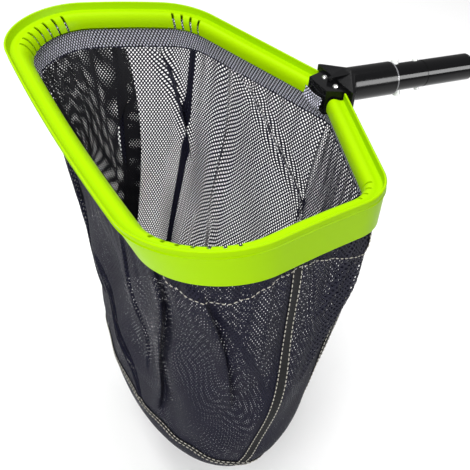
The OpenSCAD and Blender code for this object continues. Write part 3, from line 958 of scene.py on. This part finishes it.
@dataclass(frozen=True)
class Hem:
    """The net's hem: a sleeve round the hoop, a doubled skirt below it and a bridge across the yoke's front."""

    outline: Outline
    shape: BagShape
    hoop_o: float = -0.0148
    hoop_w: float = -0.0195
    radius: float = 0.0054
    thickness: float = 0.0006
    pucker: float = 0.00035
    skirt_top: tuple = (-0.0172, -0.0262)
    skirt_low: tuple = (-0.0014, -0.0226)
    gather_h: float = 0.0006

    def sleeve(self, net: bpy.types.Material) -> None:
        """Makes the sleeve: an upright arc about the hoop's line, wrinkled by slow waves along it."""
        trace = self.outline.trace(0.026)
        s = np.linspace(0, trace.run[-1], 520)
        ang = np.radians(np.linspace(-78, 258, 25))
        xy, out = trace.at(s)
        c = self.outline.place(xy, out, self.hoop_o, self.hoop_w)
        r = self.radius + self.pucker * np.sin(s[:, None] * 700 + 3 * np.sin(ang[None, :] * 2))
        ray = np.stack([out[:, None, 0] * np.cos(ang), out[:, None, 1] * np.cos(ang),
                        np.broadcast_to(np.sin(ang), (len(s), len(ang)))], axis=-1)
        grid = c[:, None] + ray * (r - self.thickness / 2)[..., None]
        obj = put_mesh("hem_sleeve_net", grid, grid_faces(*grid.shape[:2]))
        set_uv(obj, s[:, None], ang[None, :] * self.radius)
        self.close(obj, "hem_sleeve", net, grid)

    def skirt(self, net: bpy.types.Material) -> None:
        """Makes the skirt: a strip from the hoop down to the bag's mouth, gathered by fine waves."""
        mouth = self.shape.mouth()
        s = np.linspace(0, mouth.run[-1], 700)[:-1]
        v = np.linspace(0, 1, 14)
        xy, out = mouth.at(s)
        o, w = (top + low * v for top, low in zip(self.skirt_top, self.skirt_low))
        gather = self.gather_h * np.sin(s[:, None] * 430 + 2 * np.sin(s[:, None] * 37)) * v[None, :]
        grid = self.outline.place(xy[:, None], out[:, None], o[None, :] + gather, w[None, :])
        grid = grid.transpose(1, 0, 2)
        obj = put_mesh("hem_skirt_net", grid, grid_faces(*grid.shape[:2], wrap=True))
        set_uv(obj, s[None, :], (v * 0.02)[:, None])
        self.close(obj, "hem_skirt", net, full_ring(grid))

    def bridge(self, net: bpy.types.Material) -> None:
        """Makes the bridge: a strip across the yoke's front, pinched in its middle and rolled at its top edge."""
        lo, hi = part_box("hem_bridge")
        y = np.linspace(lo[1], hi[1], 40)
        v = np.linspace(0, 1, 24)
        bulge = 0.0014 * np.sin(np.pi * v)[:, None] * np.cos(y[None, :] * 260)
        x = lo[0] - 0.0012 + bulge + 0.0010 * np.sin(2 * np.pi * v)[:, None]
        z = hi[2] + (lo[2] - hi[2]) * v[:, None] - 0.0012 * np.cos(y[None, :] * 140)
        grid = np.stack(np.broadcast_arrays(x, y[None, :], z), axis=-1)
        obj = put_mesh("hem_bridge_net", grid, grid_faces(*grid.shape[:2]))
        set_uv(obj, y[None, :], (v * 0.018)[:, None])
        self.close(obj, "hem_bridge", net, grid)

    def close(self, obj: bpy.types.Object, node: str, net: bpy.types.Material, grid: np.ndarray) -> None:
        """Gives a hem piece its finish, and a wall, except the skirt, which stays a single layer."""
        if node != "hem_skirt":
            thicken(obj, "cloth", self.thickness)
        dress(obj, net, node)

    def build(self, net: bpy.types.Material) -> None:
        """Makes the three hem pieces of close, doubled net."""
        self.sleeve(net)
        self.skirt(net)
        self.bridge(net)


# ---------------------------------------------------------------- handle and studio


@dataclass(frozen=True)
class Handle:
    """Hoop, yoke, insert, ring, rivets and clip: CAD nodes that keep their shape and get their finishes here."""

    finishes: dict

    def build(self, nodes: dict) -> None:
        """Puts each finish on its node."""
        for name, finish in self.finishes.items():
            obj = nodes[name]
            obj.data.materials.clear()
            obj.data.materials.append(finish)
            LOG.info("finish of %s", name)


@dataclass(frozen=True)
class Lamp:
    """A rectangular soft light: its place, the point it faces, its size and its power.

    A mirrored one shows only in reflections.
    """

    name: str
    at: tuple
    to: tuple
    size: tuple
    power: float
    mirrored: bool = False

    def build(self) -> None:
        """Puts the light in the scene."""
        data = bpy.data.lights.new(self.name, "AREA")
        data.shape, data.size, data.size_y, data.energy = "RECTANGLE", *self.size, self.power
        obj = bpy.data.objects.new(self.name, data)
        obj.location = self.at
        obj.rotation_euler = (Vector(self.to) - Vector(self.at)).to_track_quat("-Z", "Y").to_euler()
        obj.visible_diffuse = not self.mirrored
        bpy.context.scene.collection.objects.link(obj)


@dataclass(frozen=True)
class Studio:
    """Plain pale floor, soft lights and the camera. Angles in degrees, distances in metres."""

    azimuth: float = 30.1
    elevation: float = -36.0
    roll: float = 6.3
    distance: float = 0.85
    aim: tuple = (-0.2113, -0.0785, -0.0983)
    lens: float = 68.1
    world: float = 0.31
    drop: float = 0.05
    lamps: tuple = (Lamp("top", (-0.4, 0.3, 2.2), (-0.2, 0, -0.1), (2.6, 2.6), 82),
                    Lamp("fill", (-1.6, -1.4, 1.3), (-0.2, 0, -0.1), (1.0, 1.0), 42),
                    Lamp("strip", (0.85, -1.13, 0.40), (0.85, 0.0, 0.0), (1.5, 0.62), 50, mirrored=True))

    def camera(self) -> None:
        """Puts the camera at its distance from the aim point, turned by azimuth, elevation and roll."""
        az, el, ro = (math.radians(v) for v in (self.azimuth, self.elevation, self.roll))
        look = Vector((math.sin(az) * math.cos(el), math.cos(az) * math.cos(el), math.sin(el)))
        level = Vector((math.cos(az), -math.sin(az), 0))
        up = level.cross(look)
        right = level * math.cos(ro) + up * math.sin(ro)
        up = right.cross(look)
        data = bpy.data.cameras.new("view")
        data.lens, data.sensor_width = self.lens, 36.0
        data.clip_start, data.clip_end = 0.05, 50.0
        cam = bpy.data.objects.new("view", data)
        turn = np.eye(4)
        for k, axis in enumerate((right, up, -look)):
            turn[:3, k] = axis
        turn[:3, 3] = Vector(self.aim) - look * self.distance
        cam.matrix_world = Matrix(turn.tolist())
        bpy.context.scene.collection.objects.link(cam)
        bpy.context.scene.camera = cam

    def floor(self, level: float) -> None:
        """Makes a flat pale floor at a height, as a grid."""
        x = np.linspace(-6, 6, 33)
        gx, gy = np.meshgrid(x, x, indexing="ij")
        grid = np.stack([gx, gy, np.full_like(gx, level)], axis=-1)
        obj = put_mesh("floor", grid, grid_faces(33, 33))
        g = Graph("pale_floor")
        tone = g.noise(2.0, 2.0)
        obj.data.materials.append(g.surface(base_color=g.blend((0.93, 0.93, 0.93), (0.96, 0.96, 0.96), tone),
                                            roughness=0.9))
        obj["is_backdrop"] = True

    def build(self) -> None:
        """Makes the world, floor, lights and camera."""
        lo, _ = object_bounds()
        self.floor(lo[2] - self.drop)
        world = bpy.data.worlds.new("studio")
        world.use_nodes = True
        back = world.node_tree.nodes["Background"]
        back.inputs[0].default_value, back.inputs[1].default_value = (1, 1, 1, 1), self.world
        bpy.context.scene.world = world
        for lamp in self.lamps:
            lamp.build()
        bpy.context.scene.view_settings.view_transform = "Standard"
        self.camera()


FOLDS = (
    # two long pleats down the rear wall near its far end, splitting low down, and one that crosses it
    Fold(Side.rear, 0.15, 0.20, -0.04, 0.72, 0.0110, 0.0060, 2.6),
    Fold(Side.rear, 0.12, 0.12, 0.52, 0.72, 0.0050, 0.0035),
    Fold(Side.rear, 0.21, 0.21, 0.50, 0.70, 0.0050, 0.0035),
    Fold(Side.rear, 0.20, 0.66, 0.01, 0.42, 0.0100, 0.0055, 2.6),
    # one from the middle of the far wall back to its rear seam
    Fold(Side.far, 0.50, 1.20, 0.01, 0.38, 0.0085, 0.0050, 2.6),
    # the front wall: a wide dark one that leans to the far side, with slighter ones each side of it
    Fold(Side.front, 0.25, 0.35, -0.02, 0.76, 0.0140, 0.0060, 2.4),
    Fold(Side.front, 0.16, 0.10, 0.03, 0.52, 0.0090, 0.0050, 2.4),
    Fold(Side.front, 0.38, 0.40, 0.08, 0.62, 0.0035, 0.0030),
    Fold(Side.front, 0.57, 0.42, 0.38, 0.80, 0.0060, 0.0040),
    Fold(Side.front, 0.63, 0.61, 0.05, 0.60, 0.0070, 0.0040),
    Fold(Side.front, 0.80, 0.82, 0.02, 0.55, 0.0070, 0.0040),
    # the near wall's rear corner, drawn down and forward
    Fold(Side.near, 0.25, 0.55, 0.00, 0.22, 0.0060, 0.0040),
    Fold(Side.near, -0.10, 0.60, -0.02, 0.44, 0.0080, 0.0050),
)


def main() -> None:
    """Builds the looks in order."""
    logging.basicConfig(level=logging.INFO, format="%(name)s: %(message)s")
    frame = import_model()
    outline = Outline()
    shape = BagShape(outline, folds=FOLDS)
    lime = Moulded("lime_soft_gloss", (0.305, 0.545, 0.0005), Gloss.SOFT, 0.03, shine=0.02).build()
    black = Moulded("black_gloss", (0.004, 0.004, 0.0045), Gloss.HIGH, shine=0.2).build()
    mirror = Moulded("black_high_gloss", (0.004, 0.004, 0.0045), Gloss.MIRROR, shine=0.2).build()
    # painted highlight: the shoulder ring's grey, against the black yoke and insert, draws the light line of the edge
    # highlight at the shoulder
    ring = Moulded("grey_gloss_painted_highlight", (0.16, 0.16, 0.17), Gloss.HIGH).build()
    milky = Moulded("milky_white", (0.80, 0.82, 0.80), Gloss.SOFT, 0.03).build()
    steel = DrawnMetal("pale_rivet", (0.80, 0.80, 0.78), 0.35).build()
    drawn = DrawnMetal("drawn_tube", (0.72, 0.72, 0.73), 0.3).build()
    net = OpenNet("net", (0.008, 0.008, 0.022)).build()
    # the hem's net has painted light in its openings: an opaque pale lavender in place of the light seen through it
    hem_net_painted_light = OpenNet("hem_net_painted_light", (0.012, 0.012, 0.020), pitch=0.0038, thread=0.40, painted_see_through_light=(0.72, 0.72, 0.84)).build()
    dense = OpenNet("dense_net", (0.004, 0.004, 0.007), pitch=0.0036, thread=0.62).build()
    tape = WovenTape("seam_tape", (0.004, 0.004, 0.005)).build()
    thread = WovenTape("pale_thread", (0.66, 0.63, 0.55), 0.0008).build()
    RimGuard(outline).build(lime)
    Hem(outline, shape).build(hem_net_painted_light)
    Bag(shape).build(net, dense, tape, thread)
    Handle({"hoop_tube": drawn, "yoke_body": black, "yoke_rivets": steel, "shoulder_ring": ring,
            "pole_insert": mirror, "clip_bow": milky, "clip_leg_upper": milky, "clip_leg_lower": milky}).build(
        frame["nodes"])
    Studio().build()


if __name__ == "__main__":
    main()
